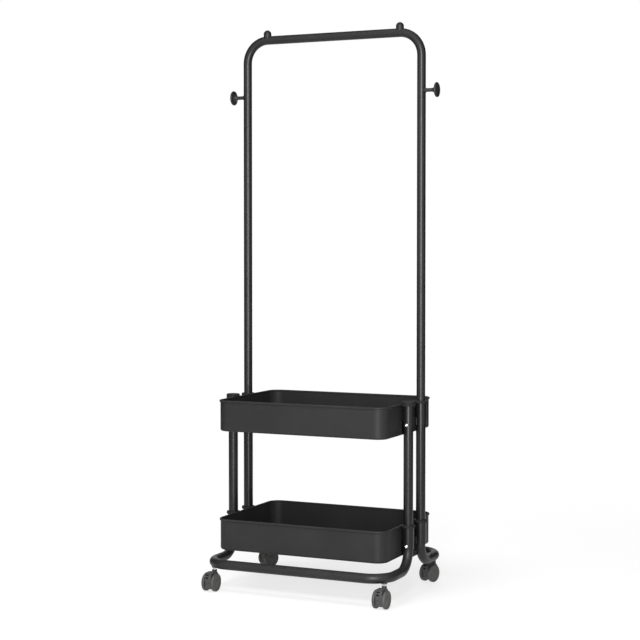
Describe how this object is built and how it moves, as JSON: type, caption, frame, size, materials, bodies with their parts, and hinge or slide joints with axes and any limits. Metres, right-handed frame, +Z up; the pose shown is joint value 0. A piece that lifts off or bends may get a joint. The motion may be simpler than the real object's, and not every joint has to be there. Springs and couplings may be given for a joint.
{
  "type": "rolling clothes rack",
  "caption": "Freestanding clothes rack on swivel casters: a bent-tube hanging frame with side knobs over sheet-metal trays on a bent-tube base.",
  "frame": {"origin": "on the floor, under the centre of the trays", "axes": "+Z up, -Y towards the front, away from the hanging frame's plane, +X to the right seen from the front"},
  "size_m": [0.649, 0.4577, 1.6005],
  "materials": {
    "powder_coat": "semi-gloss black powder coat",
    "tray_coat": "satin black powder coat on sheet steel",
    "collar_plastic": "moulded black plastic",
    "knob_plastic": "satin moulded black plastic",
    "caster_plastic": "fine-textured dark grey nylon",
    "wheel_plastic": "dark grey nylon",
    "bright_zinc": "bright zinc plate",
    "dark_zinc": "black oxide"
  },
  "bodies": {
    "frame": {"front_base_tube": "powder_coat", "rear_base_tube": "powder_coat", "left_base_gusset": "powder_coat", "right_base_gusset": "powder_coat", "lower_tray": "tray_coat", "upper_tray": "tray_coat", "lower_left_bracket": "powder_coat", "lower_right_bracket": "powder_coat", "upper_left_bracket": "powder_coat", "upper_right_bracket": "powder_coat", "lower_collars": "collar_plastic", "upper_collars": "collar_plastic", "left_post_cap": "collar_plastic", "right_post_cap": "collar_plastic", "front_left_post": "powder_coat", "front_right_post": "powder_coat", "rear_left_post": "powder_coat", "rear_right_post": "powder_coat", "hanging_frame": "powder_coat", "left_knob": "knob_plastic", "right_knob": "knob_plastic", "left_peg": "knob_plastic", "right_peg": "knob_plastic", "knob_studs": "bright_zinc", "peg_studs": "bright_zinc", "bracket_screws": "bright_zinc", "caster_stems": "bright_zinc", "stem_nuts": "dark_zinc"},
    "front_left_caster": {"front_left_hood": "caster_plastic", "front_left_axle": "bright_zinc"},
    "front_left_wheel_a": {"front_left_wheel_a": "wheel_plastic"},
    "front_left_wheel_b": {"front_left_wheel_b": "wheel_plastic"},
    "front_right_caster": {"front_right_hood": "caster_plastic", "front_right_axle": "bright_zinc"},
    "front_right_wheel_a": {"front_right_wheel_a": "wheel_plastic"},
    "front_right_wheel_b": {"front_right_wheel_b": "wheel_plastic"},
    "rear_left_caster": {"rear_left_hood": "caster_plastic", "rear_left_axle": "bright_zinc"},
    "rear_left_wheel_a": {"rear_left_wheel_a": "wheel_plastic"},
    "rear_left_wheel_b": {"rear_left_wheel_b": "wheel_plastic"},
    "rear_right_caster": {"rear_right_hood": "caster_plastic", "rear_right_axle": "bright_zinc"},
    "rear_right_wheel_a": {"rear_right_wheel_a": "wheel_plastic"},
    "rear_right_wheel_b": {"rear_right_wheel_b": "wheel_plastic"}
  },
  "joints": [
    {"name": "front_left_swivel", "type": "hinge", "parent": "frame", "child": "front_left_caster", "pos_m": [-0.2593, -0.18772, 0.06], "axis": [0, 0, 1], "continuous": true},
    {"name": "front_left_wheel_a_spin", "type": "hinge", "parent": "front_left_caster", "child": "front_left_wheel_a", "pos_m": [-0.2741, -0.20772, 0.025], "axis": [1, 0, 0], "continuous": true},
    {"name": "front_left_wheel_b_spin", "type": "hinge", "parent": "front_left_caster", "child": "front_left_wheel_b", "pos_m": [-0.2445, -0.20772, 0.025], "axis": [1, 0, 0], "continuous": true},
    {"name": "front_right_swivel", "type": "hinge", "parent": "frame", "child": "front_right_caster", "pos_m": [0.2593, -0.18772, 0.06], "axis": [0, 0, 1], "continuous": true},
    {"name": "front_right_wheel_a_spin", "type": "hinge", "parent": "front_right_caster", "child": "front_right_wheel_a", "pos_m": [0.2445, -0.20772, 0.025], "axis": [1, 0, 0], "continuous": true},
    {"name": "front_right_wheel_b_spin", "type": "hinge", "parent": "front_right_caster", "child": "front_right_wheel_b", "pos_m": [0.2741, -0.20772, 0.025], "axis": [1, 0, 0], "continuous": true},
    {"name": "rear_left_swivel", "type": "hinge", "parent": "frame", "child": "rear_left_caster", "pos_m": [-0.2593, 0.18772, 0.06], "axis": [0, 0, 1], "continuous": true},
    {"name": "rear_left_wheel_a_spin", "type": "hinge", "parent": "rear_left_caster", "child": "rear_left_wheel_a", "pos_m": [-0.28137, 0.17623, 0.025], "axis": [0.8988, -0.4384, 0], "continuous": true},
    {"name": "rear_left_wheel_b_spin", "type": "hinge", "parent": "rear_left_caster", "child": "rear_left_wheel_b", "pos_m": [-0.25477, 0.16326, 0.025], "axis": [0.8988, -0.4384, 0], "continuous": true},
    {"name": "rear_right_swivel", "type": "hinge", "parent": "frame", "child": "rear_right_caster", "pos_m": [0.2593, 0.18772, 0.06], "axis": [0, 0, 1], "continuous": true},
    {"name": "rear_right_wheel_a_spin", "type": "hinge", "parent": "rear_right_caster", "child": "rear_right_wheel_a", "pos_m": [0.23983, 0.17223, 0.025], "axis": [0.9659, -0.2588, 0], "continuous": true},
    {"name": "rear_right_wheel_b_spin", "type": "hinge", "parent": "rear_right_caster", "child": "rear_right_wheel_b", "pos_m": [0.26842, 0.16457, 0.025], "axis": [0.9659, -0.2588, 0], "continuous": true}
  ]
}
